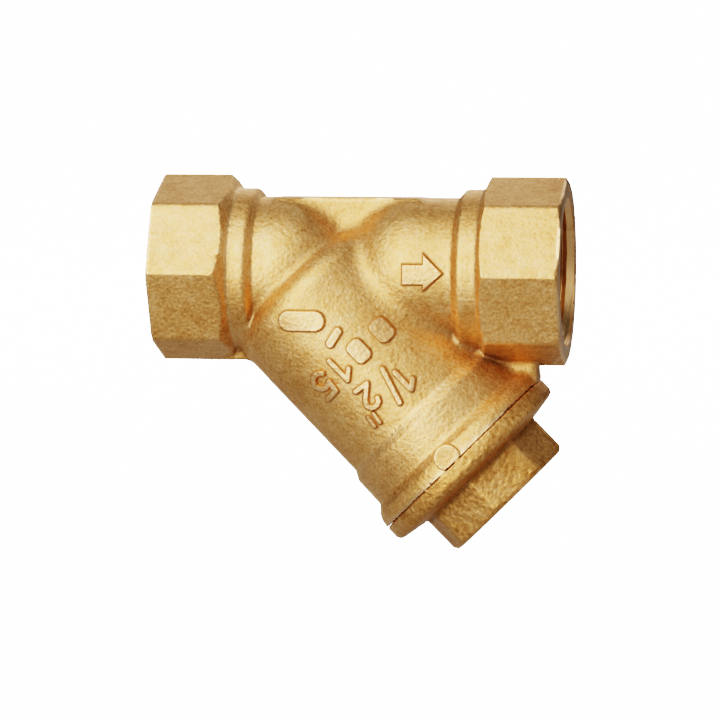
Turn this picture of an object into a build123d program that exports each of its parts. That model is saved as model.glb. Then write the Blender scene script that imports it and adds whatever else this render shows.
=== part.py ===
from build123d import *
import math
import os

# Brass Y strainer, thread size G1/2.
# Row frame: origin at the centre of the inlet face, +X along the run in the
# direction of flow, +Z up, branch leaning down and forward at 45 degrees.
# All dimensions in millimetres.

# ---- driving dimensions -------------------------------------------------
face_to_face = 58.0
end_across_flats = 25.0
end_top = 13.28                    # the corners at the top and bottom are trimmed flat
inlet_end_bottom = 13.02
outlet_end_bottom = 13.28
inlet_end_length = 10.35           # octagon, measured at the middle of a flat
outlet_end_length = 11.10
end_chamfer = 0.50
collar_radius = 11.5
run_radius = 10.3                  # outside of the run tubes and their domes

port_radius = 9.316                # G1/2 minor diameter 18.63
port_thread_length = 11.0
port_chamfer = 0.4
run_bore_radius = 7.5
pocket_radius = 7.8

branch_x = 17.26                   # where the branch axis crosses the run axis
outlet_dome_x = 36.7
branch_radius = 12.5               # at the upper end, tapering out to the mouth
branch_foot_radius = 12.78
branch_foot = 27.8
branch_top = 2.1                   # flat upper end, along the branch axis
branch_top_round = 3.4
mouth_step_radius = 13.55
mouth_step = (28.2, 29.2)
mouth_collar_radius = 15.2
mouth_collar = (33.7, 34.8)
mouth_face = 36.8                  # joint face between body and cap

web_half_width = 2.6
web_height = 10.25
gusset_half_width = 2.6
inlet_gusset = ((9.0, -6.0), (16.0, -6.0), (16.0, -12.95), (9.0, -12.95))
outlet_gusset = ((44.0, -9.0), (53.9, -9.0), (53.9, -14.84), (53.14, -15.6), (44.0, -15.6))

screen_seat = 4.5                  # shoulder that the screen stands against
screen_guide_end = 7.0
chamber_radius = 10.6
thread_start = 28.3
cap_thread_pitch = 1.5             # M24x1.5
cap_thread_bore = 11.58            # plain wall at the pitch diameter
cap_thread_radius = 11.50
gasket_seat_radius = 13.2
gasket_thickness = 1.2

fit_clearance = 0.10
screen_ring_radius = 9.10
screen_mesh_radius = 8.60
screen_mesh_thickness = 0.30
screen_band_width = 2.2
screen_foot = 37.40

cap_sleeve_start = 28.8
cap_flange_radius = 15.2
cap_flange = (36.85, 39.5)
cap_shoulder_end = 40.1
cap_head_end = 46.1
cap_head_across_flats = 20.0
cap_head_turn = 1.5
cap_floor = 37.8
cap_chamfer = 0.5

mark_height = 0.50
mark_stroke = 0.80
# strokes of the size numerals, in a frame 3.3 high: across is the reading direction
numeral_one = ((-0.80, 0.75), (0.30, 1.62), (0.30, -1.62))
numeral_two = ((-0.95, 0.95), (-0.35, 1.60), (0.45, 1.52), (0.86, 0.90), (0.62, 0.16), (-0.98, -1.60), (1.00, -1.60))
numeral_five = ((0.95, 1.62), (-0.62, 1.62), (-0.86, 0.22), (0.10, 0.46), (0.92, -0.20), (0.86, -1.15), (0.10, -1.62), (-0.98, -1.12))
solidus = ((-0.75, -2.50), (0.75, 2.50))
tick_left = ((-0.38, -0.75), (-0.38, 0.75))
tick_right = ((0.62, -0.75), (0.62, 0.75))
# strokes, distance down the branch, distance across it, turn, size
size_marks = (
    (numeral_one, 16.50, -1.86, 0, 1.13),
    (numeral_five, 16.45, -5.30, 0, 1.10),
    (numeral_one, 23.85, 3.60, 0, 1.00),
    (solidus, 23.20, 1.67, 0, 1.00),
    (numeral_two, 22.05, -1.75, 8, 1.02),
    (tick_left, 24.90, -3.40, 8, 1.00),
    (tick_right, 24.90, -3.40, 8, 1.00),
)

# ---- reference planes and axes ------------------------------------------
end_vertex_radius = end_across_flats / 2 / math.cos(math.radians(22.5))
cap_vertex_radius = cap_head_across_flats / 2 / math.cos(math.radians(22.5))
branch_origin = (branch_x, 0, 0)
branch_axis = Axis(branch_origin, (1, 0, -1))
# local x is the outward radius in the plane of the run, local y runs down the branch
branch_section = Plane(origin=branch_origin, x_dir=(1, 0, 1), z_dir=(0, 1, 0))
# local z runs down the branch, local x points to the front of the strainer
branch_cross = Plane(origin=branch_origin, x_dir=(0, -1, 0), z_dir=(1, 0, -1))


# ---- octagonal ends, each one trimmed by its turned end forms ------------
with BuildPart() as inlet_end:
    with BuildSketch(Plane.YZ) as octagon_in:
        RegularPolygon(radius=end_vertex_radius, side_count=8)
        with Locations((0, (end_top - inlet_end_bottom) / 2)):
            Rectangle(2 * end_vertex_radius, end_top + inlet_end_bottom, mode=Mode.INTERSECT)
    extrude(amount=inlet_end_length + 1.5)
    with BuildSketch(Plane.XZ) as turned_in:
        with BuildLine():
            Polyline(
                (0, 0),
                (0, end_vertex_radius - 2 * end_chamfer),
                (end_chamfer, end_vertex_radius + 0.02),
                (inlet_end_length - 0.70, end_vertex_radius + 0.02),
                (inlet_end_length + 0.75, collar_radius),
                (inlet_end_length + 0.75, 0),
                close=True,
            )
        make_face()
    revolve(axis=Axis.X, mode=Mode.INTERSECT)

with BuildPart() as outlet_end:
    with BuildSketch(Plane.YZ.offset(face_to_face)) as octagon_out:
        RegularPolygon(radius=end_vertex_radius, side_count=8)
        with Locations((0, (end_top - outlet_end_bottom) / 2)):
            Rectangle(2 * end_vertex_radius, end_top + outlet_end_bottom, mode=Mode.INTERSECT)
    extrude(amount=-(outlet_end_length + 1.5))
    outlet_inner = face_to_face - outlet_end_length
    with BuildSketch(Plane.XZ) as turned_out:
        with BuildLine():
            Polyline(
                (face_to_face, 0),
                (face_to_face, end_vertex_radius - 2 * end_chamfer),
                (face_to_face - end_chamfer, end_vertex_radius + 0.02),
                (outlet_inner + 0.50, end_vertex_radius + 0.02),
                (outlet_inner - 0.50, collar_radius),
                (outlet_inner - 0.50, 0),
                close=True,
            )
        make_face()
    revolve(axis=Axis.X, mode=Mode.INTERSECT)

# ---- raised flow arrow, wrapped on the outlet tube -----------------------
with BuildPart() as flow_arrow:
    with BuildSketch(Plane.XZ.offset(5)) as arrow_outline:
        with BuildLine():
            Polyline(
                (35.95, 1.50), (38.85, 1.50), (38.85, 3.05), (41.65, 0.25),
                (38.85, -2.25), (38.85, -1.35), (35.95, -1.35),
                close=True,
            )
        make_face()
    extrude(amount=8)
    with BuildSketch(Plane.YZ.offset(30)) as arrow_skin:
        Circle(run_radius + mark_height)
    extrude(amount=14, mode=Mode.INTERSECT)

# ---- raised size marks and plain pads on the side of the branch ----------
# local x runs against the reading direction's normal, local y down the branch
branch_side = Plane(origin=branch_origin, x_dir=(-1, 0, -1), z_dir=(0, -1, 0))
with BuildPart() as branch_marks:
    with BuildSketch(branch_side.offset(6)) as mark_outlines:
        for strokes, down, across, turn, size in size_marks:
            angle = math.radians(turn)
            placed = []
            for u, v in strokes:
                u, v = u * size, v * size
                placed.append((
                    -across + u * math.cos(angle) + v * math.sin(angle),
                    down - u * math.sin(angle) + v * math.cos(angle),
                ))
            for start, end in zip(placed[:-1], placed[1:]):
                run = math.dist(start, end)
                lean = math.degrees(math.atan2(end[1] - start[1], end[0] - start[0]))
                with Locations(Location(((start[0] + end[0]) / 2, (start[1] + end[1]) / 2, 0), (0, 0, lean))):
                    SlotOverall(run + mark_stroke, mark_stroke)
        for down, across in ((16.7, 6.0), (16.6, 1.8)):
            with Locations((-across, down)):
                RectangleRounded(2.5, 3.5, 0.9)
        with Locations(Location((-0.6, 12.83, 0), (0, 0, 13.3))):
            SlotOverall(3.2, 1.25)
        with Locations(Location((1.07, 7.98, 0), (0, 0, -45))):
            SlotOverall(6.6, 2.9)
    extrude(amount=9)
    with BuildSketch(branch_section) as mark_skin:
        with BuildLine():
            Polyline(
                (0, branch_top + 1.0),
                (branch_radius + mark_height, branch_top + 1.0),
                (branch_foot_radius + mark_height, branch_foot),
                (0, branch_foot),
                close=True,
            )
        make_face()
    revolve(axis=branch_axis, mode=Mode.INTERSECT)

# ---- raised round mark on the mouth collar, flush with the joint face ----
with BuildPart() as collar_mark:
    with BuildSketch(branch_side) as mark_disc:
        with Locations((-0.65, 35.75)):
            Circle(1.9)
    extrude(amount=15.5)
    with BuildSketch(branch_cross.offset(30)) as mark_limit:
        Circle(20)
    extrude(amount=mouth_face - 30, mode=Mode.INTERSECT)

# ---- gussets under the two ends ------------------------------------------
with BuildPart() as inlet_gusset_rib:
    with BuildSketch(Plane.XZ.offset(-gusset_half_width)) as inlet_gusset_outline:
        with BuildLine():
            Polyline(*inlet_gusset, close=True)
        make_face()
    extrude(amount=2 * gusset_half_width)

with BuildPart() as outlet_gusset_rib:
    with BuildSketch(Plane.XZ.offset(-gusset_half_width)) as outlet_gusset_outline:
        with BuildLine():
            Polyline(*outlet_gusset, close=True)
        make_face()
    extrude(amount=2 * gusset_half_width)

# ---- body ----------------------------------------------------------------
with BuildPart() as body:
    add(inlet_end.part)
    add(outlet_end.part)
    # inlet collar and tube, ending in a dome over the crossing
    with BuildSketch(Plane.XZ) as inlet_tube:
        with BuildLine():
            Polyline(
                (6, 0), (6, collar_radius), (13.5, collar_radius),
                (14.6, run_radius), (branch_x, run_radius), (branch_x, 0),
                close=True,
            )
        make_face()
    revolve(axis=Axis.X)
    with Locations(branch_origin):
        Sphere(run_radius)
    # outlet dome, tube and collar
    with BuildSketch(Plane.XZ) as outlet_tube:
        with BuildLine():
            Polyline(
                (outlet_dome_x, 0), (outlet_dome_x, run_radius), (42.6, run_radius),
                (43.8, collar_radius), (52, collar_radius), (52, 0),
                close=True,
            )
        make_face()
    revolve(axis=Axis.X)
    with Locations((outlet_dome_x, 0, 0)):
        Sphere(run_radius)
    # web that closes the saddle between the two domes
    with Locations(((branch_x + outlet_dome_x) / 2, 0, web_height / 2)):
        Box(outlet_dome_x - branch_x, 2 * web_half_width, web_height)
    # branch with its rounded upper end, stepped and collared mouth
    with BuildSketch(branch_section) as branch_outline:
        with BuildLine():
            Line((0, branch_top), (branch_radius - branch_top_round, branch_top))
            RadiusArc(
                (branch_radius - branch_top_round, branch_top),
                (branch_radius, branch_top + branch_top_round),
                -branch_top_round,
            )
            Polyline(
                (branch_radius, branch_top + branch_top_round),
                (branch_foot_radius, branch_foot),
                (branch_foot_radius + 0.17, mouth_step[0]),
                (mouth_step_radius, mouth_step[1]),
                (mouth_step_radius, mouth_collar[0]),
                (mouth_collar_radius, mouth_collar[1]),
                (mouth_collar_radius, mouth_face),
                (0, mouth_face),
                (0, branch_top),
            )
        make_face()
    revolve(axis=branch_axis)
    add(inlet_gusset_rib.part)
    add(outlet_gusset_rib.part)
    add(flow_arrow.part)
    add(branch_marks.part)
    add(collar_mark.part)

    # inlet port, waterway and the pocket at the crossing
    with BuildSketch(Plane.XZ) as inlet_way:
        with BuildLine():
            Polyline(
                (0, 0),
                (0, port_radius + port_chamfer),
                (port_chamfer, port_radius),
                (port_chamfer + port_thread_length, port_radius),
                (port_chamfer + port_thread_length + 1.0, run_bore_radius),
                (branch_x, run_bore_radius),
                (branch_x, 0),
                close=True,
            )
        make_face()
    revolve(axis=Axis.X, mode=Mode.SUBTRACT)
    with Locations(branch_origin):
        Sphere(pocket_radius, mode=Mode.SUBTRACT)
    # throat, screen guide, chamber, cap thread and gasket seat down the branch
    with BuildSketch(branch_section) as branch_way:
        with BuildLine():
            Polyline(
                (0, 0),
                (pocket_radius, 0),
                (pocket_radius, screen_seat),
                (screen_ring_radius + fit_clearance, screen_seat),
                (screen_ring_radius + fit_clearance, screen_guide_end),
                (chamber_radius, screen_guide_end + 1.0),
                (chamber_radius, thread_start - 1.0),
                (cap_thread_bore, thread_start),
                (cap_thread_bore, mouth_face - gasket_thickness),
                (gasket_seat_radius, mouth_face - gasket_thickness),
                (gasket_seat_radius, mouth_face),
                (0, mouth_face),
                close=True,
            )
        make_face()
    revolve(axis=branch_axis, mode=Mode.SUBTRACT)
    # outlet pocket, waterway and port
    with Locations((outlet_dome_x, 0, 0)):
        Sphere(pocket_radius, mode=Mode.SUBTRACT)
    with BuildSketch(Plane.XZ) as outlet_way:
        with BuildLine():
            Polyline(
                (outlet_dome_x, 0),
                (outlet_dome_x, run_bore_radius),
                (face_to_face - port_chamfer - port_thread_length - 1.0, run_bore_radius),
                (face_to_face - port_chamfer - port_thread_length, port_radius),
                (face_to_face - port_chamfer, port_radius),
                (face_to_face, port_radius + port_chamfer),
                (face_to_face, 0),
                close=True,
            )
        make_face()
    revolve(axis=Axis.X, mode=Mode.SUBTRACT)
body.part.label = "body"
export_step(body.part, "parts/body.step")

# ---- screw cap: threaded sleeve, sealing flange and octagonal head -------
with BuildPart() as cap_head:
    with BuildSketch(branch_cross.offset(cap_flange[1] - 1.0)) as head_outline:
        RegularPolygon(radius=cap_vertex_radius, side_count=8, rotation=cap_head_turn)
    extrude(amount=cap_head_end - cap_flange[1] + 1.0)
    with BuildSketch(branch_section) as head_turning:
        with BuildLine():
            Polyline(
                (0, cap_flange[1] - 1.0),
                (cap_vertex_radius + 0.02, cap_flange[1] - 1.0),
                (cap_vertex_radius + 0.02, cap_head_end - cap_chamfer),
                (cap_vertex_radius - 2 * cap_chamfer, cap_head_end),
                (0, cap_head_end),
                close=True,
            )
        make_face()
    revolve(axis=branch_axis, mode=Mode.INTERSECT)

with BuildPart() as cap:
    with BuildSketch(branch_section) as cap_turning:
        with BuildLine():
            Polyline(
                (0, cap_floor),
                (screen_ring_radius + fit_clearance, cap_floor),
                (screen_ring_radius + fit_clearance, cap_sleeve_start),
                (cap_thread_radius - 0.9, cap_sleeve_start),
                (cap_thread_radius, cap_sleeve_start + 0.9),
                (cap_thread_radius, cap_flange[0] - gasket_thickness),
                (cap_thread_radius, cap_flange[0]),
                (cap_flange_radius - 0.3, cap_flange[0]),
                (cap_flange_radius, cap_flange[0] + 0.3),
                (cap_flange_radius, cap_flange[1] - 0.9),
                (cap_flange_radius - 0.9, cap_flange[1]),
                (11.0, cap_shoulder_end),
                (0, cap_shoulder_end),
                close=True,
            )
        make_face()
    revolve(axis=branch_axis)
    add(cap_head.part)
cap.part.label = "cap"
export_step(cap.part, "parts/cap.step")

# ---- flat gasket between the cap flange and the body ---------------------
with BuildPart() as cap_gasket:
    with BuildSketch(branch_cross.offset(mouth_face - gasket_thickness + 0.01)):
        Circle(gasket_seat_radius - 0.10)
        Circle(cap_thread_radius + 0.10, mode=Mode.SUBTRACT)
    extrude(amount=gasket_thickness)
cap_gasket.part.label = "cap_gasket"
export_step(cap_gasket.part, "parts/cap_gasket.step")

# ---- strainer screen: rolled mesh sleeve with a band round each end ------
screen_head = screen_seat + 0.05
with BuildPart() as screen_mesh:
    with BuildSketch(branch_cross.offset(screen_head)):
        Circle(screen_mesh_radius)
        Circle(screen_mesh_radius - screen_mesh_thickness, mode=Mode.SUBTRACT)
    extrude(amount=screen_foot - screen_head)
screen_mesh.part.label = "screen_mesh"
export_step(screen_mesh.part, "parts/screen_mesh.step")

with BuildPart() as screen_top_band:
    with BuildSketch(branch_cross.offset(screen_head)):
        Circle(screen_ring_radius)
        Circle(screen_mesh_radius, mode=Mode.SUBTRACT)
    extrude(amount=screen_band_width)
screen_top_band.part.label = "screen_top_band"
export_step(screen_top_band.part, "parts/screen_top_band.step")

with BuildPart() as screen_bottom_band:
    with BuildSketch(branch_cross.offset(screen_foot - screen_band_width)):
        Circle(screen_ring_radius)
        Circle(screen_mesh_radius, mode=Mode.SUBTRACT)
    extrude(amount=screen_band_width)
screen_bottom_band.part.label = "screen_bottom_band"
export_step(screen_bottom_band.part, "parts/screen_bottom_band.step")
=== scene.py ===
"""Y strainer, G 1/2 female ends, 58 mm face to face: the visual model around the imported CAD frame.

The casting and the screw cap are meshed from signed distance fields by dual contouring; threads,
woven screen, bands and gasket are built ring by ring. Shape code works in millimetres and
becomes metres when a mesh is made.
"""

import math
import bpy
import numpy as np
from mathutils import Matrix, Vector


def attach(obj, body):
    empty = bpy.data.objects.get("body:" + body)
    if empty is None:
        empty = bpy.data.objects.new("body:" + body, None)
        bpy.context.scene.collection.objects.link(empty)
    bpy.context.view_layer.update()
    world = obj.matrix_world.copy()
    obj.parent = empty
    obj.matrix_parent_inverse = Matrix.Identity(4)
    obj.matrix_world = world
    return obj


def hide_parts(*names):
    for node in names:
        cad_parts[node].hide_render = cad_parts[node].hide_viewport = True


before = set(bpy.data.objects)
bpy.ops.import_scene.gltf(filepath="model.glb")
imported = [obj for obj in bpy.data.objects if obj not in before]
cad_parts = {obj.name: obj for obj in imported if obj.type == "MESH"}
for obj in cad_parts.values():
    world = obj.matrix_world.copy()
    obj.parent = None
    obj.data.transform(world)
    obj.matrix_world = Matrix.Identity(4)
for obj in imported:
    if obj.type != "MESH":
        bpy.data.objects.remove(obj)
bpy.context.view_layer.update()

# ---------------------------------------------------------------- shape field
# All shapes below are signed distances in millimetres, negative inside, in the row frame:
# origin at the centre of the inlet face, +X along the flow, +Z up. The branch axis leaves the
# run at x = XB and points along (1, 0, -1); s is the distance down it and n the distance
# across it in the XZ plane.
F32 = np.float32
RT2 = F32(math.sqrt(0.5))
XB = 17.26
XD = 36.7
MARK = 0.58


def smin(a, b, k):
    h = np.clip(0.5 + 0.5 * (b - a) / k, 0, 1)
    return b + (a - b) * h - k * h * (1 - h)


def smax(a, b, k):
    return -smin(-a, -b, k)


def poly(u, v, pts):
    d = None
    inside = np.zeros(u.shape, bool)
    n = len(pts)
    for i in range(n):
        ax, ay = float(pts[i][0]), float(pts[i][1])
        bx, by = float(pts[(i + 1) % n][0]), float(pts[(i + 1) % n][1])
        ex, ey = bx - ax, by - ay
        ll = ex * ex + ey * ey
        if ll < 1e-12:
            continue
        wx = u - F32(ax)
        wy = v - F32(ay)
        if abs(ey) < 1e-9:
            t = np.clip(wx / F32(ex), 0, 1)
            dx = wx - F32(ex) * t
            dd = dx * dx + wy * wy
        elif abs(ex) < 1e-9:
            t = np.clip(wy / F32(ey), 0, 1)
            dy = wy - F32(ey) * t
            dd = wx * wx + dy * dy
        else:
            t = np.clip((wx * F32(ex / ll) + wy * F32(ey / ll)), 0, 1)
            dx = wx - F32(ex) * t
            dy = wy - F32(ey) * t
            dd = dx * dx + dy * dy
        d = dd if d is None else np.minimum(d, dd)
        if abs(ey) > 1e-12:
            c = (F32(ay) <= v) != (F32(by) <= v)
            inside ^= c & (u < F32(ax) + wy * F32(ex / ey))
    d = np.sqrt(d)
    return np.where(inside, -d, d)


def lines(u, v, pts, w):
    d = None
    for (ax, ay), (bx, by) in zip(pts[:-1], pts[1:]):
        ex, ey = bx - ax, by - ay
        ll = ex * ex + ey * ey
        wx = u - ax
        wy = v - ay
        t = np.clip((wx * ex + wy * ey) / ll, 0, 1)
        dd = (wx - ex * t) ** 2 + (wy - ey * t) ** 2
        d = dd if d is None else np.minimum(d, dd)
    return np.sqrt(d) - w / 2


def octagon(y, z, af, k):
    c1, s1 = F32(math.cos(math.pi / 8)), F32(math.sin(math.pi / 8))
    ay, az = np.abs(y), np.abs(z)
    return smax(ay * c1 + az * s1 - af, ay * s1 + az * c1 - af, k)


def rounded_box(x, y, z, x0, x1, w, z0, z1, r):
    bx = np.abs(x - (x0 + x1) / 2) - (x1 - x0) / 2 + r
    bz = np.abs(z - (z0 + z1) / 2) - (z1 - z0) / 2 + r
    by = np.abs(y) - w + r
    out = np.sqrt(np.maximum(bx, 0) ** 2 + np.maximum(by, 0) ** 2 + np.maximum(bz, 0) ** 2)
    return out + np.minimum(np.maximum(np.maximum(bx, by), bz), 0) - r


def branch_frame(x, y, z):
    q = x - F32(XB)
    s = (q - z) * RT2
    n = (q + z) * RT2
    return s, n, np.sqrt(n * n + y * y)


# the outside of the casting
INLET_COLLAR = [(4, -5), (4, 11.5), (13.4, 11.5), (13.7, 11.35), (14.5, 10.3), (XB, 10.3), (XB, -5)]
OUTLET_COLLAR = [(XD, -5), (XD, 10.3), (42.7, 10.3), (43.6, 11.35), (43.9, 11.5), (54, 11.5), (54, -5)]
INLET_END = [(0, -5), (0, 13.25), (0.25, 13.6), (9.62, 13.6), (11.1, 11.5), (11.1, -5)]
OUTLET_END = [(58, -5), (58, 12.6), (57.48, 13.6), (47.4, 13.6), (46.4, 11.5), (46.4, -5)]
BRANCH_TOP, BRANCH_ROUND = 2.1, 3.6
BRANCH_CORE = [(BRANCH_TOP + BRANCH_ROUND, -5), (BRANCH_TOP + BRANCH_ROUND, 12.5 - BRANCH_ROUND),
               (28.3 - BRANCH_ROUND, 12.75 - BRANCH_ROUND), (28.3 - BRANCH_ROUND, -5)]
BRANCH_MOUTH = [(10, -5), (10, 12.58), (27.8, 12.78), (28.2, 12.95), (29.2, 13.5), (33.6, 13.6), (33.9, 13.75),
                (34.8, 14.65), (35.7, 15.05), (36.8, 15.2), (36.8, -5)]


def outside(x, y, z):
    r = np.sqrt(y * y + z * z)
    a = poly(x, r, INLET_COLLAR)
    a = np.minimum(a, np.sqrt((x - XB) ** 2 + y * y + z * z) - 10.3)
    b = poly(x, r, OUTLET_COLLAR)
    b = np.minimum(b, np.sqrt((x - XD) ** 2 + y * y + z * z) - 10.3)
    s, n, rho = branch_frame(x, y, z)
    c = poly(s, rho, BRANCH_CORE) - BRANCH_ROUND
    c = np.minimum(c, poly(s, rho, BRANCH_MOUTH))
    web = np.maximum(np.maximum(np.abs(x - (XB + XD) / 2) - (XD - XB) / 2, np.abs(y) - 2.6), np.abs(z - 5.3) - 5.3)
    o = octagon(y, z, 12.5, 0.25)
    e1 = np.maximum(np.maximum(o, np.maximum(z - 13.45, -13.12 - z)), poly(x, r, INLET_END))
    e2 = np.maximum(np.maximum(o, np.abs(z) - 13.28), poly(x, r, OUTLET_END))
    g = smin(smin(a, c, 1.1), b, 1.9)
    g = smin(g, web, 1.6)
    g = np.where((x > 14.6) & (x < 42.6), np.maximum(g, z - 10.3), g)
    g = smin(g, rounded_box(x, y, z, 9.0, 16.0, 2.6, -12.95, -6.0, 0.4), 0.8)
    g2 = np.maximum(rounded_box(x, y, z, 44.0, 53.9, 2.6, -15.6, -9.0, 0.4), s - 36.4)
    g = smin(g, g2, 1.2)
    g = smin(g, e1, 0.3)
    return smin(g, e2, 0.6)


# the inside of the casting, in the order the water meets it
INLET_BORE = [(-3, -5), (-3, 10.5), (11.0, 10.5), (11.0, 7.5), (XB, 7.5), (XB, -5)]
OUTLET_BORE = [(XD, -5), (XD, 7.5), (47.0, 7.5), (47.0, 10.5), (61, 10.5), (61, -5)]
BRANCH_BORE = [(0, -5), (0, 7.8), (4.5, 7.8), (4.5, 9.2), (7.0, 9.2), (8.0, 10.6), (27.3, 10.6), (28.6, 12.1),
               (35.2, 12.1), (35.6, 12.5), (35.6, 13.2), (40, 13.2), (40, -5)]


def inside(x, y, z):
    r = np.sqrt(y * y + z * z)
    d = np.minimum(poly(x, r, INLET_BORE), np.sqrt((x - XB) ** 2 + y * y + z * z) - 7.8)
    out = np.minimum(poly(x, r, OUTLET_BORE), np.sqrt((x - XD) ** 2 + y * y + z * z) - 7.8)
    s, n, rho = branch_frame(x, y, z)
    return np.minimum(d, smin(out, poly(s, rho, BRANCH_BORE), 0.9))


def casting(x, y, z):
    return np.maximum(outside(x, y, z), -inside(x, y, z))


# the screw cap: flange, shoulder, eight-sided head, sleeve
CAP_FLANGE = [(30, -5), (30, 11.0), (36.85, 11.0), (36.85, 14.95), (37.1, 15.2), (38.7, 15.2), (39.3, 14.9),
              (39.55, 14.3), (40.1, 11.0), (40.1, -5)]
CAP_TOP = [(39, -5), (39, 10.9), (45.5, 10.9), (46.15, 9.9), (46.15, -5)]
CAP_SLEEVE = [(28.8, 9.2), (28.8, 10.6), (29.2, 11.0), (37.2, 11.0), (37.2, 9.2)]
CAP_BORE = [(25, -5), (25, 9.9), (28.3, 9.9), (29.0, 9.2), (37.5, 9.2), (37.8, 8.9), (37.8, -5)]
HEAD_TURN = math.radians(-1.5)


def cap_shape(x, y, z):
    s, n, rho = branch_frame(x, y, z)
    f = poly(s, rho, CAP_FLANGE)
    c, t = math.cos(HEAD_TURN), math.sin(HEAD_TURN)
    head = octagon(-y * c + n * t, y * t + n * c, 10.0, 0.35)
    head = smax(head, poly(s, rho, CAP_TOP), 0.45)
    d = smin(f, head, 0.35)
    d = np.minimum(d, poly(s, rho, [(28.8, -5), (28.8, 10.6), (29.2, 11.0), (37.2, 11.0), (37.2, -5)]))
    return np.maximum(d, -poly(s, rho, CAP_BORE))


# raised marks on the casting: sizes in numerals, a flow arrow and plain pads
ARROW = [(35.95, 1.5), (38.85, 1.5), (38.85, 3.05), (41.65, 0.25), (38.85, -2.25), (38.85, -1.35), (35.95, -1.35)]
ONE = [(-0.80, 0.75), (0.3, 1.62), (0.3, -1.62)]
TWO = [(-0.98, 0.85), (-0.82, 1.3), (-0.42, 1.58), (0.08, 1.64), (0.55, 1.48), (0.85, 1.1), (0.86, 0.62), (0.62, 0.16),
       (-0.98, -1.6), (1.0, -1.6)]
FIVE = [(0.95, 1.62), (-0.62, 1.62), (-0.86, 0.2), (-0.4, 0.42), (0.1, 0.44), (0.62, 0.2), (0.96, -0.24), (1.02, -0.72),
        (0.82, -1.2), (0.4, -1.54), (-0.12, -1.62), (-0.62, -1.46), (-0.98, -1.12)]


def branch_marks(x, z):
    """Plan distance to the marks on the side of the branch, seen along Y."""
    s = (x - XB - z) * RT2
    n = (x - XB + z) * RT2
    d = np.full(x.shape, 9.0, F32)
    for pts, s0, n0, turn, size, w in (
        (ONE, 16.5, -1.86, 0, 1.13, 0.80), (FIVE, 16.45, -5.3, 0, 1.10, 0.80),
        (ONE, 23.85, 3.6, 0, 1.0, 0.80), ([(-0.75, -2.5), (0.75, 2.5)], 23.2, 1.67, 0, 1.0, 0.78),
        (TWO, 22.05, -1.75, 8, 1.02, 0.80),
        ([(-0.38, -0.75), (-0.38, 0.75)], 24.9, -3.4, 8, 1.0, 0.62), ([(0.62, -0.75), (0.62, 0.75)], 24.9, -3.4, 8, 1.0, 0.62),
    ):
        a = math.radians(turn)
        du, dv = -(n - n0), s - s0
        u = (du * math.cos(a) - dv * math.sin(a)) / size
        v = (du * math.sin(a) + dv * math.cos(a)) / size
        d = np.minimum(d, lines(u, v, pts, w / size) * size)
    for s0, n0, hs, hn, rr in ((16.7, 6.0, 1.75, 1.25, 0.9), (16.6, 1.8, 1.75, 1.25, 0.9)):
        bs, bn = np.abs(s - s0) - hs + rr, np.abs(n - n0) - hn + rr
        d = np.minimum(d, np.sqrt(np.maximum(bs, 0) ** 2 + np.maximum(bn, 0) ** 2) + np.minimum(np.maximum(bs, bn), 0) - rr)
    d = np.minimum(d, lines(n, s, [(-0.35, 13.05), (1.55, 12.6)], 1.25))
    bx, bz = np.abs(x - 22.15) - 3.3 + 1.45, np.abs(z + 6.4) - 1.45 + 1.45
    return np.minimum(d, np.sqrt(np.maximum(bx, 0) ** 2 + np.maximum(bz, 0) ** 2) + np.minimum(np.maximum(bx, bz), 0) - 1.45)


def marks_plan(x, z):
    return np.minimum(branch_marks(x, z), poly(x, z, ARROW))
# ---------------------------------------------------------------- meshing a field
def sample(field, xs, ys, zs):
    out = np.empty((len(xs), len(ys), len(zs)), F32)
    step = max(1, int(400000 // (len(ys) * len(zs))))
    for i in range(0, len(xs), step):
        a, b, c = np.meshgrid(xs[i:i + step], ys, zs, indexing="ij")
        out[i:i + step] = field(a, b, c)
    return out


def at(field, p):
    out = np.empty(len(p), F32)
    for i in range(0, len(p), 200000):
        q = p[i:i + 200000]
        out[i:i + 200000] = field(q[:, 0], q[:, 1], q[:, 2])
    return out


def slope(field, p, e=0.012):
    g = np.empty((len(p), 3), F32)
    for k in range(3):
        o = np.zeros(3, F32)
        o[k] = e
        g[:, k] = at(field, p + o) - at(field, p - o)
    return g / np.maximum(np.linalg.norm(g, axis=1, keepdims=True), 1e-9)


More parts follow.
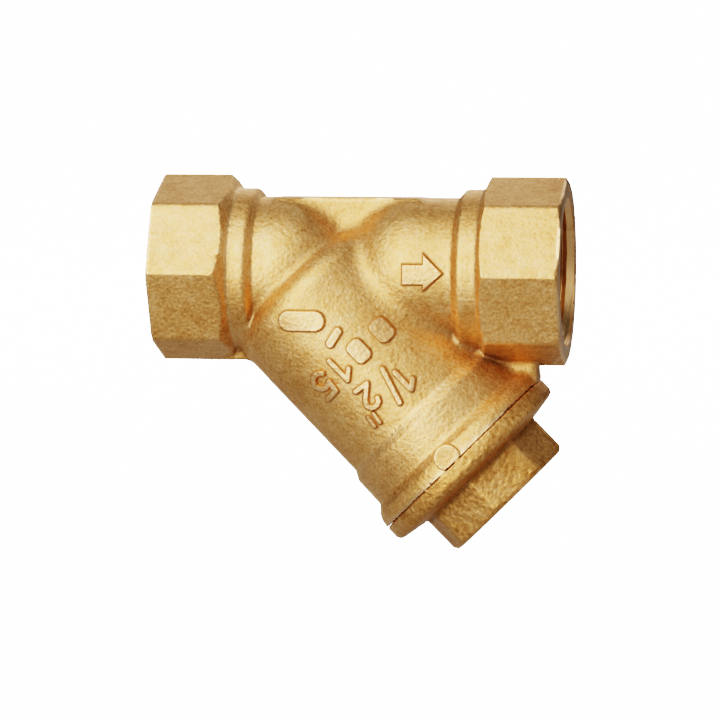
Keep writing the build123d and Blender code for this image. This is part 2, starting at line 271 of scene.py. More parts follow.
def contour(field, lo, hi, h):
    """Dual contouring: one vertex in each cell the surface crosses, placed where the surface's
    tangent planes meet, so edges and corners stay sharp. Returns vertices and triangles."""
    xs, ys, zs = (np.arange(lo[k], hi[k] + h, h).astype(F32) for k in range(3))
    f = sample(field, xs, ys, zs)
    neg = f < 0
    nx, ny, nz = f.shape
    cx, cy, cz = nx - 1, ny - 1, nz - 1
    axes = (xs, ys, zs)
    points, edges = [], []
    for k in range(3):
        a = [slice(None)] * 3
        b = [slice(None)] * 3
        a[k], b[k] = slice(0, -1), slice(1, None)
        hit = neg[tuple(a)] != neg[tuple(b)]
        i, j, l = np.nonzero(hit)
        f0 = f[tuple(a)][hit].astype(F32)
        f1 = f[tuple(b)][hit].astype(F32)
        p0 = np.stack([xs[i], ys[j], zs[l]], 1)
        e = np.zeros(3, F32)
        e[k] = h
        t0, t1 = np.zeros_like(f0), np.ones_like(f0)
        for turn in range(3):
            t = t0 + (t1 - t0) * np.clip(f0 / (f0 - f1), 0.02, 0.98)
            ft = at(field, p0 + e * t[:, None])
            same = (ft < 0) == (f0 < 0)
            t0, f0 = np.where(same, t, t0), np.where(same, ft, f0)
            t1, f1 = np.where(same, t1, t), np.where(same, f1, ft)
        t = t0 + (t1 - t0) * np.clip(f0 / (f0 - f1 + 1e-12), 0, 1)
        points.append(p0 + e * t[:, None])
        edges.append((i, j, l, neg[tuple(a)][hit]))
    p = np.concatenate(points)
    n = slope(field, p)
    number = np.concatenate([np.full(len(q), k) for k, q in enumerate(points)])
    quads = []
    for k in range(3):
        i, j, l, down = edges[k]
        u, v = (k + 1) % 3, (k + 2) % 3
        base = [i, j, l]
        corners = []
        for du, dv in ((-1, -1), (0, -1), (0, 0), (-1, 0)):
            c = [base[0].copy(), base[1].copy(), base[2].copy()]
            c[u] = c[u] + du
            c[v] = c[v] + dv
            corners.append((c[0] * cy + c[1]) * cz + c[2])
        q = np.stack(corners, 1)
        q[~down] = q[~down][:, ::-1]
        quads.append(q)
    quads = np.concatenate(quads)
    cells, back = np.unique(quads, return_inverse=True)
    back = back.reshape(quads.shape)
    m = len(cells)
    flat = back.ravel()
    rp = np.repeat(p, 4, 0).astype(np.float64)
    rn = np.repeat(n, 4, 0).astype(np.float64)
    count = np.bincount(flat, minlength=m).astype(np.float64)
    mass = np.stack([np.bincount(flat, rp[:, k], m) for k in range(3)], 1) / count[:, None]
    d = (rn * (rp - mass[flat])).sum(1)
    a = np.zeros((m, 3, 3))
    b = np.zeros((m, 3))
    for r in range(3):
        b[:, r] = np.bincount(flat, rn[:, r] * d, m)
        for c in range(r, 3):
            a[:, r, c] = a[:, c, r] = np.bincount(flat, rn[:, r] * rn[:, c], m)
    a += np.eye(3)[None] * (0.004 * count)[:, None, None]
    x = mass + np.linalg.solve(a, b[:, :, None])[:, :, 0]
    ci = np.stack([cells // (cy * cz), (cells // cz) % cy, cells % cz], 1)
    low = np.stack([xs[ci[:, 0]], ys[ci[:, 1]], zs[ci[:, 2]]], 1).astype(np.float64)
    x = np.clip(x, low + 0.02 * h, low + 0.98 * h).astype(F32)
    va, vb, vc, vd = (x[back[:, k]] for k in range(4))
    off1 = np.abs(at(field, (va + vc) / 2))
    off2 = np.abs(at(field, (vb + vd) / 2))
    first = off1 <= off2
    tris = np.where(first[:, None, None],
                    np.stack([back[:, [0, 1, 2]], back[:, [0, 2, 3]]], 1),
                    np.stack([back[:, [0, 1, 3]], back[:, [1, 2, 3]]], 1)).reshape(-1, 3)
    return x, tris


def refine(x, tris, pick):
    """Splits the edges that pick(midpoints) chooses, with matching splits on both sides."""
    e = np.sort(np.concatenate([tris[:, [0, 1]], tris[:, [1, 2]], tris[:, [2, 0]]]), 1)
    uniq, back = np.unique(e, axis=0, return_inverse=True)
    back = back.ravel()
    mid = (x[uniq[:, 0]] + x[uniq[:, 1]]) / 2
    chosen = pick(mid)
    number = np.full(len(uniq), -1)
    number[chosen] = len(x) + np.arange(chosen.sum())
    x = np.concatenate([x, mid[chosen]])
    nt = len(tris)
    ab, bc, ca = number[back[:nt]], number[back[nt:2 * nt]], number[back[2 * nt:]]
    a, b, c = tris.T
    code = (ab >= 0) * 1 + (bc >= 0) * 2 + (ca >= 0) * 4
    out = [tris[code == 0]]

    def put(k, *rows):
        sel = code == k
        if sel.any():
            for r in rows:
                out.append(np.stack([q[sel] for q in r], 1))

    put(7, (a, ab, ca), (ab, b, bc), (ca, bc, c), (ab, bc, ca))
    put(1, (a, ab, c), (ab, b, c))
    put(2, (b, bc, a), (bc, c, a))
    put(4, (c, ca, b), (ca, a, b))
    put(3, (b, bc, ab), (bc, c, ab), (c, a, ab))
    put(6, (c, ca, bc), (ca, a, bc), (a, b, bc))
    put(5, (a, ab, ca), (ab, b, ca), (b, c, ca))
    return x, np.concatenate(out)


def open_edges(tris):
    e = np.sort(np.concatenate([tris[:, [0, 1]], tris[:, [1, 2]], tris[:, [2, 0]]]), 1)
    _, c = np.unique(e, axis=0, return_counts=True)
    return int((c != 2).sum())
# ---------------------------------------------------------------- pieces
def to_object(name, x, tris, smooth=True, extra=None, sharp=None):
    """x in mm, tris an index array or a list of faces."""
    me = bpy.data.meshes.new(name)
    x = np.asarray(x, np.float64) * 0.001
    faces = np.asarray(tris)
    me.vertices.add(len(x))
    me.vertices.foreach_set("co", x.astype(F32).ravel())
    k = faces.shape[1]
    me.loops.add(faces.size)
    me.loops.foreach_set("vertex_index", faces.astype(np.int32).ravel())
    me.polygons.add(len(faces))
    me.polygons.foreach_set("loop_start", np.arange(0, faces.size, k, dtype=np.int32))
    me.update(calc_edges=True)
    me.validate()
    if smooth:
        me.polygons.foreach_set("use_smooth", np.ones(len(me.polygons), bool))
    for key, values in (extra or {}).items():
        layer = me.attributes.new(key, "FLOAT", "POINT")
        layer.data.foreach_set("value", np.asarray(values, F32))
    if sharp is not None:
        me.set_sharp_from_angle(angle=math.radians(sharp))
    ob = bpy.data.objects.new(name, me)
    bpy.context.scene.collection.objects.link(ob)
    return ob


def settle(field, x, turns=3):
    for _ in range(turns):
        x = x - slope(field, x) * np.clip(at(field, x), -0.2, 0.2)[:, None]
    return x


def crease_refine(field, x, tris, degrees, keep=None):
    """Adds vertices along edges where the surface turns sharply."""
    n = slope(field, x, 0.03)
    e = np.sort(np.concatenate([tris[:, [0, 1]], tris[:, [1, 2]], tris[:, [2, 0]]]), 1)
    uniq = np.unique(e, axis=0)
    turn = (n[uniq[:, 0]] * n[uniq[:, 1]]).sum(1) < math.cos(math.radians(degrees))
    if keep is not None:
        turn &= keep((x[uniq[:, 0]] + x[uniq[:, 1]]) / 2)
    old = len(x)
    x, tris = refine(x, tris, lambda mid: turn)
    x[old:] = settle(field, x[old:])
    return x, tris


def hollow_and_ridge_depth(field, x, n):
    """Two values per vertex: how deep it sits in a corner, and how proud it stands on an edge."""
    deep = np.zeros(len(x), F32)
    proud = np.zeros(len(x), F32)
    for reach in (0.5, 1.1):
        deep += np.clip(1 - at(field, x + n * F32(reach)) / reach, 0, 1) * 0.5
        proud += np.clip(1 + at(field, x - n * F32(reach)) / reach, 0, 1) * 0.5
    return deep, proud


def tube_grid(rings, closed_u=True):
    """Quads for rings of equal length, each ring closed on itself, the last joined to the first."""
    m, k = rings.shape[0], rings.shape[1]
    i = np.arange(m)[:, None]
    j = np.arange(k)[None, :]
    a = i * k + j
    b = i * k + (j + 1) % k
    c = ((i + 1) % m) * k + (j + 1) % k
    d = ((i + 1) % m) * k + j
    q = np.stack([a, b, c, d], -1).reshape(-1, 4)
    return rings.reshape(-1, 3), q


def lathe(profile, segments, place):
    """A closed profile of (along, radius) turned about an axis; place maps (along, u, v) to xyz."""
    prof = np.asarray(profile, np.float64)
    t = np.arange(segments) * 2 * np.pi / segments
    along = np.repeat(prof[:, 0][:, None], segments, 1)
    rad = np.repeat(prof[:, 1][:, None], segments, 1)
    pts = place(along, rad * np.cos(t)[None, :], rad * np.sin(t)[None, :])
    return tube_grid(pts)


def on_run(a, u, v):
    return np.stack([a, u, v], -1)


def on_branch(a, u, v):
    """a down the branch, u across it along (1, 0, 1), v along -Y: right-handed about the axis."""
    r = math.sqrt(0.5)
    return np.stack([XB + a * r + u * r, -v, -a * r + u * r], -1)


def thread_shell(root, crest, pitch, start, stop, back, place, hand, taper_in, taper_out, nt, na, round_off=0.14):
    """A closed ring: one wall carries a screw thread, the other wall, at radius back, is plain and
    buried in the metal behind it. root and crest are radii; taper_in and taper_out give the
    chamfered lengths at the two ends."""
    t = np.arange(nt) * 2 * np.pi / nt
    a = np.linspace(start, stop, na)
    aa, tt = np.meshgrid(a, t, indexing="ij")
    phase = (aa / pitch - hand * tt / (2 * np.pi)) % 1.0
    tri = 1 - np.abs(2 * phase - 1)            # 0 at the root, 1 at the crest
    flat = np.clip((tri - round_off) / (1 - 2 * round_off), 0, 1)
    flat = flat * flat * (3 - 2 * flat) * 0.35 + flat * 0.65
    r = root + (crest - root) * flat
    out = 1 if back < min(root, crest) else -1   # male threads stand out from back
    lim_in = back_limit(aa - start, taper_in, root, crest, out)
    lim_out = back_limit(stop - aa, taper_out, root, crest, out)
    if out > 0:
        r = np.minimum(r, np.minimum(lim_in, lim_out))
    else:
        r = np.maximum(r, np.maximum(lim_in, lim_out))
    wall = np.stack([aa, r * np.cos(tt), r * np.sin(tt)], -1)
    plain = np.stack([aa[::-1], back * np.cos(tt), back * np.sin(tt)], -1)[[0, na // 2, na - 1]]
    rings = np.concatenate([wall, plain])
    pts = place(rings[..., 0], rings[..., 1], rings[..., 2])
    return tube_grid(pts)


def back_limit(along, length, root, crest, out):
    if length <= 0:
        return np.full(along.shape, 1e3 if out > 0 else 0.0)
    lo, hi = (min(root, crest), max(root, crest))
    f = np.clip(along / length, 0, 1)
    return lo - 0.12 + (hi - lo + 0.12) * f if out > 0 else hi + 0.12 - (hi - lo + 0.12) * f


def facing(x, q):
    """Flips all faces if the closed surface is inside out."""
    p = np.asarray(x, np.float64)
    q = np.asarray(q)
    a, b, c = p[q[:, 0]], p[q[:, 1]], p[q[:, 2]]
    vol = (a * np.cross(b, c)).sum()
    if q.shape[1] == 4:
        d = p[q[:, 3]]
        vol += (a * np.cross(c, d)).sum()
    return q if vol > 0 else q[:, ::-1]


# ---------------------------------------------------------------- the casting
def front_patch(mid, reach, lo=-9.0):
    """Midpoints on the front of the casting that lie within reach of a mark's outline."""
    pick = mid[:, 1] < -8.2
    pick &= slope(casting, mid, 0.05)[:, 1] < -0.35
    d = np.full(len(mid), 9.0, F32)
    d[pick] = marks_plan(mid[pick, 0], mid[pick, 2])
    return (d < reach) & (d > -reach)


def make_casting():
    h = 0.5
    x, tris = contour(casting, (-0.74, -16.207, -37.614), (59.1, 16.2, 14.2), h)
    x, tris = crease_refine(casting, x, tris, 24, lambda m: outside(m[:, 0], m[:, 1], m[:, 2]) > -0.3)
    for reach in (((0.5, 0.3))):
        old = len(x)
        x, tris = refine(x, tris, lambda mid: front_patch(mid, reach))
        x[old:] = settle(casting, x[old:], 2)
    old = len(x)
    x, tris = refine(x, tris, lambda mid: front_patch(mid, 0.2))
    x[old:] = settle(casting, x[old:], 2)
    x = settle(casting, x, 2)
    n = slope(casting, x, 0.05)
    deep, proud = hollow_and_ridge_depth(casting, x, n)
    front = (x[:, 1] < -8.2) & (n[:, 1] < -0.35)
    d = np.full(len(x), 9.0, F32)
    d[front] = marks_plan(x[front, 0], x[front, 2])
    rise = np.clip(0.5 - d / 0.22, 0, 1)
    rise = rise * rise * (3 - 2 * rise)
    lean = np.clip(-n[:, 1], 0.35, 1)
    x[:, 1] -= MARK * rise / np.sqrt(lean)
    # painted shadow: a dark ring just outside the outline of each raised mark, added to deep so the material darkens it
    # like a corner
    deep = np.maximum(deep, np.where(front, np.clip(1 - np.abs(d - 0.14) / 0.2, 0, 1) * 0.5, 0))
    proud = np.maximum(proud, np.where(front, np.clip(-d / 0.14, 0, 1) * (0.45 + 0.25 * np.clip(1 - np.abs(d + 0.22) / 0.18, 0, 1)), 0))
    inner = (-inside(x[:, 0], x[:, 1], x[:, 2]) > -0.06).astype(F32)
    turned = np.maximum(inner, ((x[:, 0] < 0.25) | (x[:, 0] > 57.75)).astype(F32))
    s, nn, rho = branch_frame(x[:, 0], x[:, 1], x[:, 2])
    turned = np.maximum(turned, ((s > 36.6) & (s < 36.9)).astype(F32))
    return x, tris, deep, proud, turned


x, tris, deep, proud, turned = make_casting()
print("casting: %d vertices, %d triangles, %d open edges" % (len(x), len(tris), open_edges(tris)))
body = to_object("casting", x, tris, extra={"deep": deep, "proud": proud, "turned": turned}, sharp=62)

# the boss on the mouth collar, a low round pad that ends flush with the joint face


def pad_field(x, y, z):
    s, n, rho = branch_frame(x, y, z)
    d = np.sqrt((s - 35.75) ** 2 + (n - 0.65) ** 2) - 1.9
    d = smax(d, -y - 15.5, 0.25)
    return np.maximum(np.maximum(d, s - 36.78), y + 12.9)


x, tris = contour(pad_field, (40.0, -15.9, -28.0), (46.6, -12.5, -22.0), 0.14)
n = slope(pad_field, x, 0.05)
deep, proud = hollow_and_ridge_depth(pad_field, x, n)
pad = to_object("collar_pad", x, facing(x, tris), extra={"deep": deep * 0, "proud": proud, "turned": deep * 0}, sharp=50)

# ---------------------------------------------------------------- the cap
x, tris = contour(cap_shape, (26.03, -15.942, -43.3245), (61.2, 15.95, -8.5), 0.38)
x, tris = crease_refine(cap_shape, x, tris, 16)
n = slope(cap_shape, x, 0.05)
deep, proud = hollow_and_ridge_depth(cap_shape, x, n)
s, nn, rho = branch_frame(x[:, 0], x[:, 1], x[:, 2])
turned = ((s < 36.9) | ((rho < 9.3) & (s < 37.9))).astype(F32)
print("cap: %d vertices, %d triangles, %d open edges" % (len(x), len(tris), open_edges(tris)))
cap = to_object("cap_casting", x, tris, extra={"deep": deep, "proud": proud, "turned": turned}, sharp=62)

# ---------------------------------------------------------------- threads
NT = 144


def add_thread(name, *args):
    x, q = thread_shell(*args)
    q = facing(x, q)
    n = len(x)
    return to_object(name, x, q, extra={"deep": np.zeros(n), "proud": np.zeros(n), "turned": np.ones(n)}, sharp=55)


G_ROOT, G_CREST, G_PITCH = 10.478, 9.316, 1.814
inlet_thread = add_thread("inlet_thread", G_ROOT, G_CREST, G_PITCH, 0.06, 11.04, 10.62, on_run, 1, 1.3, 0.0, NT, 120)


def on_run_back(a, u, v):
    return np.stack([58.0 - a, u, -v], -1)


outlet_thread = add_thread("outlet_thread", G_ROOT, G_CREST, G_PITCH, 0.06, 11.04, 10.62, on_run_back, 1, 1.3, 0.0, NT, 120)
mouth_thread = add_thread("mouth_thread", 12.0, 11.19, 1.5, 28.35, 35.3, 12.2, on_branch, 1, 0.6, 0.9, NT, 90)
cap_thread = add_thread("cap_thread", 11.88, 11.07, 1.5, 28.95, 35.3, 10.85, on_branch, 1, 0.9, 0.5, NT, 84)

# ---------------------------------------------------------------- gasket, screen, bands


def rounded_profile(a0, a1, r0, r1, c, k=4):
    pts = []
    for (ca, cr, start) in ((a1 - c, r1 - c, 0), (a0 + c, r1 - c, 90), (a0 + c, r0 + c, 180), (a1 - c, r0 + c, 270)):
        for i in range(k + 1):
            t = math.radians(start + 90 * i / k)
            pts.append((ca + c * math.cos(t), cr + c * math.sin(t)))
    return pts


x, q = lathe(rounded_profile(35.62, 36.78, 11.62, 13.08, 0.28), 144, on_branch)
gasket = to_object("gasket", x, facing(x, q))


def band(name, a0, a1):
    """A rolled sheet band: flat strip with a bead along each edge."""
    pts = []
    w = a1 - a0
    for i in range(33):
        f = i / 32
        bead = math.exp(-((f - 0.12) / 0.07) ** 2) + math.exp(-((f - 0.88) / 0.07) ** 2)
        edge = math.sqrt(max(0.0, 1 - (abs(f - 0.5) / 0.5) ** 6))
        pts.append((a0 + w * f, 8.72 + (0.16 + 0.2 * bead) * edge))
    for i in range(32, -1, -1):
        f = i / 32
        pts.append((a0 + w * f, 8.61 - 0.0 * f))
    x, q = lathe(pts, 120, on_branch)
    return to_object(name, x, facing(x, q), sharp=50)


top_band = band("screen_band_seat_end", 4.58, 6.75)
bottom_band = band("screen_band_cap_end", 35.2, 37.38)


def wires():
    warps, hoops = ((72, 45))
    a0, a1 = 4.75, 37.2
    mid, amp, rad, sides = 8.45, 0.095, 0.1, 4
    xs, qs = [], []
    base = 0
    step = (a1 - a0 - 0.6) / (hoops - 1)
    ring = np.arange(sides) * 2 * np.pi / sides
    for i in range(warps):
        t = 2 * np.pi * i / warps
        na = hoops * 3 + 1
        a = np.linspace(a0, a1, na)
        c = (a - a0 - 0.3) / step
        r = mid + amp * np.cos(np.pi * (c + i))
        rr = r[:, None] + rad * np.cos(ring)[None, :]
        tt = t + rad * np.sin(ring)[None, :] / mid
        p = on_branch(np.repeat(a[:, None], sides, 1), rr * np.cos(tt), rr * np.sin(tt)).reshape(-1, 3)
        j = np.arange(na - 1)[:, None] * sides
        k = np.arange(sides)[None, :]
        q = np.stack([j + k, j + (k + 1) % sides, j + sides + (k + 1) % sides, j + sides + k], -1).reshape(-1, 4)
        # pinch the two ends shut
        p = np.concatenate([p, p[:sides].mean(0)[None], p[-sides:].mean(0)[None]])
        e0, e1 = na * sides, na * sides + 1
        caps = [[e0, (m + 1) % sides, m, m] for m in range(sides)]
        caps += [[e1, (na - 1) * sides + m, (na - 1) * sides + (m + 1) % sides, (na - 1) * sides + (m + 1) % sides] for m in range(sides)]
        tri = np.concatenate([q[:, [0, 1, 2]], q[:, [0, 2, 3]], np.array(caps)[:, :3]])
        tri = facing(p, tri)
        xs.append(p)
        qs.append(tri + base)
        base += len(p)
    for i in range(hoops):
        a = a0 + 0.3 + step * i
        nt = warps * 3
        t = np.arange(nt) * 2 * np.pi / nt
        r = mid - amp * np.cos(np.pi * (i + t * warps / (2 * np.pi)))
        rr = r[:, None] + rad * np.cos(ring)[None, :]
        aa = a + rad * np.sin(ring)[None, :] + np.zeros((nt, 1))
        p = on_branch(aa, rr * np.cos(t)[:, None], rr * np.sin(t)[:, None])
        p, q = tube_grid(p)
        tri = facing(p, np.concatenate([q[:, [0, 1, 2]], q[:, [0, 2, 3]]]))
        xs.append(p)
        qs.append(tri + base)
        base += len(p)
    return np.concatenate(xs), np.concatenate(qs)


x, tris = wires()
print("screen: %d vertices, %d triangles, %d open edges" % (len(x), len(tris), open_edges(tris)))
screen = to_object("screen_woven", x, tris)

t = np.radians(np.linspace(-9, 9, 13) + 90)
seam_ring = np.concatenate([np.stack([t, np.full(13, 8.56)], 1), np.stack([t[::-1], np.full(13, 8.66)], 1)])
rows = []
for a in np.linspace(6.2, 35.7, 24):
    rows.append(on_branch(np.full(26, a), seam_ring[:, 1] * np.cos(seam_ring[:, 0]), seam_ring[:, 1] * np.sin(seam_ring[:, 0])))
rows = np.array(rows)
m, k = rows.shape[:2]
j = np.arange(m - 1)[:, None] * k
i = np.arange(k)[None, :]
q = np.stack([j + i, j + (i + 1) % k, j + k + (i + 1) % k, j + k + i], -1).reshape(-1, 4)
ends = []
for base in (0, (m - 1) * k):
    for c in range(12):
        ends.append([base + c, base + c + 1, base + 24 - c, base + 25 - c])
ends = np.array(ends)
ends[12:] = ends[12:, ::-1]
q = np.concatenate([q, ends[:, ::-1]])
seam = to_object("screen_lap_seam", rows.reshape(-1, 3), facing(rows.reshape(-1, 3), q), sharp=40)


# ---------------------------------------------------------------- materials
class Graph:
    def __init__(self, name):
        self.mat = bpy.data.materials.new(name)
        self.mat.use_nodes = True
        self.t = self.mat.node_tree
        self.t.nodes.clear()
        self.out = self.t.nodes.new("ShaderNodeOutputMaterial")
        self.bsdf = self.t.nodes.new("ShaderNodeBsdfPrincipled")
        self.t.links.new(self.bsdf.outputs["BSDF"], self.out.inputs["Surface"])
        self.where = self.t.nodes.new("ShaderNodeTexCoord").outputs["Object"]

    def put(self, socket, value):
        if isinstance(value, bpy.types.NodeSocket):
            self.t.links.new(value, socket)
        else:
            socket.default_value = value

    def noise(self, scale, detail=3.0, rough=0.55, distort=0.0, stretch=None):
        n = self.t.nodes.new("ShaderNodeTexNoise")
        src = self.where
        if stretch is not None:
            m = self.t.nodes.new("ShaderNodeMapping")
            m.inputs["Rotation"].default_value = stretch[1]
            m.inputs["Scale"].default_value = stretch[0]
            self.t.links.new(src, m.inputs["Vector"])
            src = m.outputs["Vector"]
        self.t.links.new(src, n.inputs["Vector"])
        n.inputs["Scale"].default_value = scale
        n.inputs["Detail"].default_value = detail
        n.inputs["Roughness"].default_value = rough
        n.inputs["Distortion"].default_value = distort
        return n.outputs["Fac"]

    def cells(self, scale, feature="F1"):
        n = self.t.nodes.new("ShaderNodeTexVoronoi")
        n.feature = feature
        self.t.links.new(self.where, n.inputs["Vector"])
        n.inputs["Scale"].default_value = scale
        return n.outputs["Distance"]

    def ramp(self, fac, stops, mode="LINEAR"):
        r = self.t.nodes.new("ShaderNodeValToRGB")
        r.color_ramp.interpolation = mode
        while len(r.color_ramp.elements) < len(stops):
            r.color_ramp.elements.new(0.5)
        for e, (pos, col) in zip(r.color_ramp.elements, stops):
            e.position = pos
            e.color = (col[0], col[1], col[2], 1) if not isinstance(col, float) else (col, col, col, 1)
        self.t.links.new(fac, r.inputs["Fac"])
        return r.outputs["Color"]

    def span(self, fac, a, b, lo, hi):
        m = self.t.nodes.new("ShaderNodeMapRange")
        self.put(m.inputs["Value"], fac)
        for k, v in zip(("From Min", "From Max", "To Min", "To Max"), (a, b, lo, hi)):
            m.inputs[k].default_value = v
        return m.outputs["Result"]

    def math(self, op, a, b, clamp=False):
        m = self.t.nodes.new("ShaderNodeMath")
        m.operation = op
        m.use_clamp = clamp
        self.put(m.inputs[0], a)
        self.put(m.inputs[1], b)
        return m.outputs[0]

    def mix(self, fac, a, b, mode="MIX"):
        m = self.t.nodes.new("ShaderNodeMix")
        m.data_type = "RGBA"
        m.blend_type = mode
        self.put(m.inputs["Factor"], fac)
        self.put([s for s in m.inputs if s.name == "A" and s.type == "RGBA"][0], a)
        self.put([s for s in m.inputs if s.name == "B" and s.type == "RGBA"][0], b)
        return [s for s in m.outputs if s.type == "RGBA"][0]

    def attr(self, name):
        a = self.t.nodes.new("ShaderNodeAttribute")
        a.attribute_name = name
        return a.outputs["Fac"]

    def bump(self, layers):
        normal = None
        for height, strength, distance in layers:
            b = self.t.nodes.new("ShaderNodeBump")
            self.put(b.inputs["Strength"], strength)
            b.inputs["Distance"].default_value = distance
            self.t.links.new(height, b.inputs["Height"])
            if normal is not None:
                self.t.links.new(normal, b.inputs["Normal"])
            normal = b.outputs["Normal"]
        self.t.links.new(normal, self.bsdf.inputs["Normal"])


def brass(name, low, mid, high, grain, rough, coarse=1.0, corner_and_painted_shadow_brown=(0.16, 0.055, 0.012)):
    """Shot-blasted cast brass. grain is the bump depth; rough the mean roughness. Corners are darkened toward a dark
    brown, which also lays down the painted shadow ringing the raised marks; edges are rubbed brighter, and turned faces
    are smoother with fine tool marks."""
    g = Graph(name)
    deep, proud, turned = g.attr("deep"), g.attr("proud"), g.attr("turned")
    cloud = g.noise(95, 4, 0.55, 0.4)
    mottle = g.noise(620 / coarse, 3, 0.6)
    speck = g.noise(2600 / coarse, 2, 0.6)
    tone = g.math("ADD", g.math("MULTIPLY", cloud, 0.26), g.math("ADD", g.math("MULTIPLY", mottle, 0.26), g.math("MULTIPLY", speck, 0.48)))
    col = g.ramp(tone, [(0.36, low), (0.5, mid), (0.64, high)])
    tool = g.noise(900, 2, 0.5, 0.0, ((14.0, 1.0, 1.0), (0, 0, 0)))
    fresh = g.ramp(tool, [(0.3, (mid[0] * 1.02, mid[1] * 1.05, mid[2] * 1.1)), (0.7, (high[0], high[1], high[2] * 1.08))])
    col = g.mix(g.math("MULTIPLY", turned, 0.8), col, fresh)
    # painted shade: corners are pulled toward dark brown, and with them the painted shadow ring around the raised marks
    corner_dark_and_painted_shadow = g.math("MULTIPLY", g.span(deep, 0.08, 0.62, 0.0, 1.0), g.span(mottle, 0.3, 0.62, 0.55, 1.0))
    col = g.mix(g.math("MULTIPLY", corner_dark_and_painted_shadow, 0.72), col, (corner_and_painted_shadow_brown[0], corner_and_painted_shadow_brown[1], corner_and_painted_shadow_brown[2], 1))
    stain = g.span(g.noise(210, 5, 0.62, 0.8), 0.56, 0.74, 0.0, 0.30)
    col = g.mix(stain, col, (low[0] * 0.72, low[1] * 0.62, low[2] * 0.5, 1))
    rub = g.math("MULTIPLY", g.span(proud, 0.22, 0.75, 0.0, 1.0), g.span(speck, 0.35, 0.6, 0.45, 1.0))
    col = g.mix(g.math("MULTIPLY", rub, 0.55), col, (min(high[0] * 1.1, 0.98), high[1] * 1.14, high[2] * 1.3, 1))
    g.t.links.new(col, g.bsdf.inputs["Base Color"])
    r = g.span(speck, 0.3, 0.7, rough - 0.07, rough + 0.08)
    r = g.math("ADD", r, g.math("MULTIPLY", corner_dark_and_painted_shadow, 0.16))
    r = g.math("SUBTRACT", r, g.math("MULTIPLY", rub, 0.12))
    r = g.math("SUBTRACT", r, g.math("MULTIPLY", turned, 0.14), True)
    g.t.links.new(r, g.bsdf.inputs["Roughness"])
    g.bsdf.inputs["Metallic"].default_value = 1.0
    calm = g.math("SUBTRACT", 1.0, g.math("MULTIPLY", turned, 0.82))
    g.bump([
        (g.noise(300 / coarse, 3, 0.55), g.math("MULTIPLY", calm, 0.35), 0.00010 * grain * coarse),
        (g.noise(1350 / coarse, 3, 0.7), g.math("MULTIPLY", calm, 0.8), 0.00010 * grain * coarse),
        (g.cells(2100 / coarse, "SMOOTH_F1"), g.math("MULTIPLY", calm, 0.7), 0.00007 * grain * coarse),
        (tool, g.math("MULTIPLY", turned, 0.25), 0.00002),
    ])
    return g.mat


LOW, MID, HIGH = (0.56, 0.255, 0.072), (0.73, 0.400, 0.143), (0.83, 0.53, 0.25)
m_cast = brass("cast_brass_blasted", LOW, MID, HIGH, 1.0, 0.52)
m_cap = brass("cast_brass_cap", (0.46, 0.19, 0.045), (0.62, 0.315, 0.10), (0.76, 0.45, 0.19), 1.5, 0.52, 1.35)

g = Graph("ptfe_white")
white = g.ramp(g.noise(300, 3), [(0.35, (0.78, 0.78, 0.74)), (0.65, (0.88, 0.88, 0.85))])
g.t.links.new(white, g.bsdf.inputs["Base Color"])
g.t.links.new(g.span(g.noise(900, 2), 0.3, 0.7, 0.30, 0.42), g.bsdf.inputs["Roughness"])
g.bsdf.inputs["Subsurface Weight"].default_value = 0.15
g.bsdf.inputs["Subsurface Radius"].default_value = (0.0006, 0.0006, 0.0006)
g.bump([(g.noise(1200, 3), 0.3, 0.00003)])
m_ptfe = g.mat


def steel(name, base, rough):
    g = Graph(name)
    col = g.ramp(g.noise(500, 3), [(0.35, (base * 0.86, base * 0.85, base * 0.83)), (0.65, (base, base * 0.99, base * 0.97))])
    g.t.links.new(col, g.bsdf.inputs["Base Color"])
    g.bsdf.inputs["Metallic"].default_value = 1.0
    g.t.links.new(g.span(g.noise(1400, 2), 0.3, 0.7, rough - 0.06, rough + 0.08), g.bsdf.inputs["Roughness"])
    g.bump([(g.noise(2600, 2), 0.25, 0.00001)])
    return g.mat


m_wire = steel("stainless_wire", 0.24, 0.38)
m_band = steel("stainless_strip", 0.36, 0.32)

for ob, mat, body_name, slot in (
    (body, m_cast, "housing", "cast_brass"), (pad, m_cast, "housing", "cast_brass"),
    (inlet_thread, m_cast, "housing", "cast_brass"), (outlet_thread, m_cast, "housing", "cast_brass"),
    (mouth_thread, m_cast, "housing", "cast_brass"),
    (cap, m_cap, "screw_cap", "cap_brass"), (cap_thread, m_cap, "screw_cap", "cap_brass"),
    (gasket, m_ptfe, "gasket_ring", "gasket_ptfe"),
    (screen, m_wire, "strainer", "screen_steel"), (seam, m_band, "strainer", "screen_steel"),
    (top_band, m_band, "strainer", "band_steel"), (bottom_band, m_band, "strainer", "band_steel"),
):
    ob.data.materials.append(mat)
    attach(ob, body_name)

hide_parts("body")
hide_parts("cap")
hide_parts("cap_gasket")
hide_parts("screen_mesh")
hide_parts("screen_top_band")
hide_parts("screen_bottom_band")


# ---------------------------------------------------------------- stage, light, camera
FLOOR = -0.074   # below the lowest point that the cap reaches on its travel


def floor_sheet():
    """A pale sweep: flat under the object, rising in a curve far behind it."""
    prof = [(-1.2, 0.0), (0.9, 0.0)]
    for i in range(1, 13):
        a = math.radians(90 * i / 12)
        prof.append((0.9 + 0.5 * math.sin(a), 0.5 - 0.5 * math.cos(a)))
    prof.append((1.4, 1.6))
    verts, faces = [], []
    for i, (y, z) in enumerate(prof):
        for sx in (-2.2, 2.2):
            verts.append((0.029 + sx, y, FLOOR + z))
        if i:
            faces.append((2 * i - 2, 2 * i - 1, 2 * i + 1, 2 * i))
    me = bpy.data.meshes.new("floor_sweep")
    me.from_pydata(verts, [], faces)
    me.polygons.foreach_set("use_smooth", [True] * len(me.polygons))
    ob = bpy.data.objects.new("floor_sweep", me)
    bpy.context.scene.collection.objects.link(ob)
    return ob


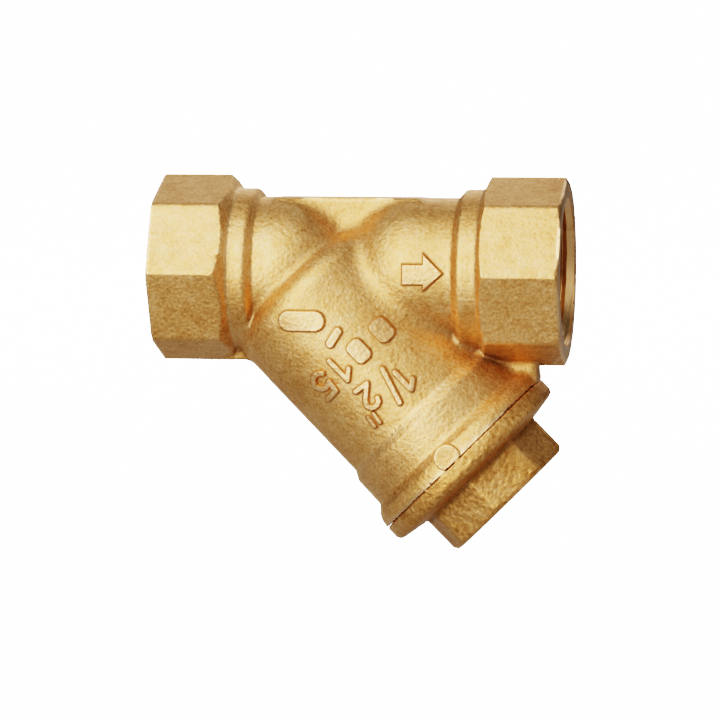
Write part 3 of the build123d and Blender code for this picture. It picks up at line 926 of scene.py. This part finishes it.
floor = floor_sheet()
g = Graph("floor_pale")
g.t.links.new(g.ramp(g.noise(6, 2), [(0.4, (0.86, 0.86, 0.855)), (0.6, (0.88, 0.88, 0.875))]), g.bsdf.inputs["Base Color"])
g.bsdf.inputs["Roughness"].default_value = 0.9
g.bsdf.inputs["Specular IOR Level"].default_value = 0.1
g.bsdf.inputs["Emission Color"].default_value = (1, 1, 1, 1)
g.bsdf.inputs["Emission Strength"].default_value = 9.0
# seen from below, the sheet is clear, so the underside of the object can be looked at
n_geo = g.t.nodes.new("ShaderNodeNewGeometry")
n_clear = g.t.nodes.new("ShaderNodeBsdfTransparent")
n_mix = g.t.nodes.new("ShaderNodeMixShader")
g.t.links.new(n_geo.outputs["Backfacing"], n_mix.inputs[0])
g.t.links.new(g.bsdf.outputs["BSDF"], n_mix.inputs[1])
g.t.links.new(n_clear.outputs["BSDF"], n_mix.inputs[2])
g.t.links.new(n_mix.outputs["Shader"], g.out.inputs["Surface"])
floor.data.materials.append(g.mat)
floor.visible_glossy = False


def softbox(name, azimuth, elevation, distance, width, height, watts, colour=(1, 1, 1), aim=(0.029, 0, -0.012)):
    """azimuth 0 is on the camera's side (-Y), negative to the left."""
    a, e = math.radians(azimuth), math.radians(elevation)
    d = Vector((math.sin(a) * math.cos(e), -math.cos(a) * math.cos(e), math.sin(e)))
    light = bpy.data.lights.new(name, "AREA")
    light.shape = "RECTANGLE"
    light.size, light.size_y = width, height
    light.energy = watts
    light.color = colour
    ob = bpy.data.objects.new(name, light)
    ob.location = Vector(aim) + d * distance
    ob.rotation_euler = (-d).to_track_quat("-Z", "Y").to_euler()
    bpy.context.scene.collection.objects.link(ob)
    return ob


softbox("key", -35, 42, 0.9, 0.62, 0.62, 4.0)
softbox("front", -22, 4, 0.9, 0.70, 0.62, 7.6)
softbox("front_top", 5, 42, 0.9, 0.62, 0.62, 2.8)
softbox("top", 0, 80, 0.9, 0.62, 0.62, 0.5)
softbox("back", 180, 34, 0.9, 0.8, 0.5, 2.4)
softbox("right", 78, 18, 0.9, 0.6, 0.6, 1.2)

world = bpy.data.worlds.new("studio")
bpy.context.scene.world = world
world.use_nodes = True
wt = world.node_tree
wt.nodes.clear()
w_out = wt.nodes.new("ShaderNodeOutputWorld")
w_bg = wt.nodes.new("ShaderNodeBackground")
w_tc = wt.nodes.new("ShaderNodeTexCoord")
w_sep = wt.nodes.new("ShaderNodeSeparateXYZ")
w_ramp = wt.nodes.new("ShaderNodeValToRGB")
w_map = wt.nodes.new("ShaderNodeMapRange")
w_map.inputs["From Min"].default_value = -1
w_map.inputs["From Max"].default_value = 1
wt.links.new(w_tc.outputs["Generated"], w_sep.inputs[0])
wt.links.new(w_sep.outputs["Z"], w_map.inputs["Value"])
wt.links.new(w_map.outputs["Result"], w_ramp.inputs["Fac"])
els = w_ramp.color_ramp.elements
els[0].position, els[0].color = 0.0, (0.38, 0.38, 0.38, 1)
els[1].position, els[1].color = 1.0, (0.07, 0.07, 0.07, 1)
e = els.new(0.42)
e.color = (0.38, 0.38, 0.38, 1)
e = els.new(0.50)
e.color = (0.07, 0.07, 0.07, 1)
wt.links.new(w_ramp.outputs["Color"], w_bg.inputs["Color"])
w_bg.inputs["Strength"].default_value = 1.0
wt.links.new(w_bg.outputs["Background"], w_out.inputs["Surface"])

cam_data = bpy.data.cameras.new("camera")
cam = bpy.data.objects.new("camera", cam_data)
bpy.context.scene.collection.objects.link(cam)
bpy.context.scene.camera = cam
cam_data.sensor_width = 36.0
cam_data.lens = 36.0 * 3220.0 / 720.0
cam_data.clip_start, cam_data.clip_end = 0.02, 20
phi, ele, roll = math.radians(9.5), math.radians(5.5), math.radians(-0.03)
back = Vector((math.sin(phi) * math.cos(ele), -math.cos(phi) * math.cos(ele), math.sin(ele)))
target = Vector((0.02829, 0.0, -0.01295))
cam.location = target + back * 0.460
right = Vector((0, 0, 1)).cross(back).normalized()
up = back.cross(right)
r2 = right * math.cos(roll) + up * math.sin(roll)
u2 = -right * math.sin(roll) + up * math.cos(roll)
cam.rotation_euler = Matrix((r2, u2, back)).transposed().to_euler()

view = bpy.context.scene.view_settings
view.view_transform = "Filmic"
view.look = "High Contrast"
view.exposure = 0.0
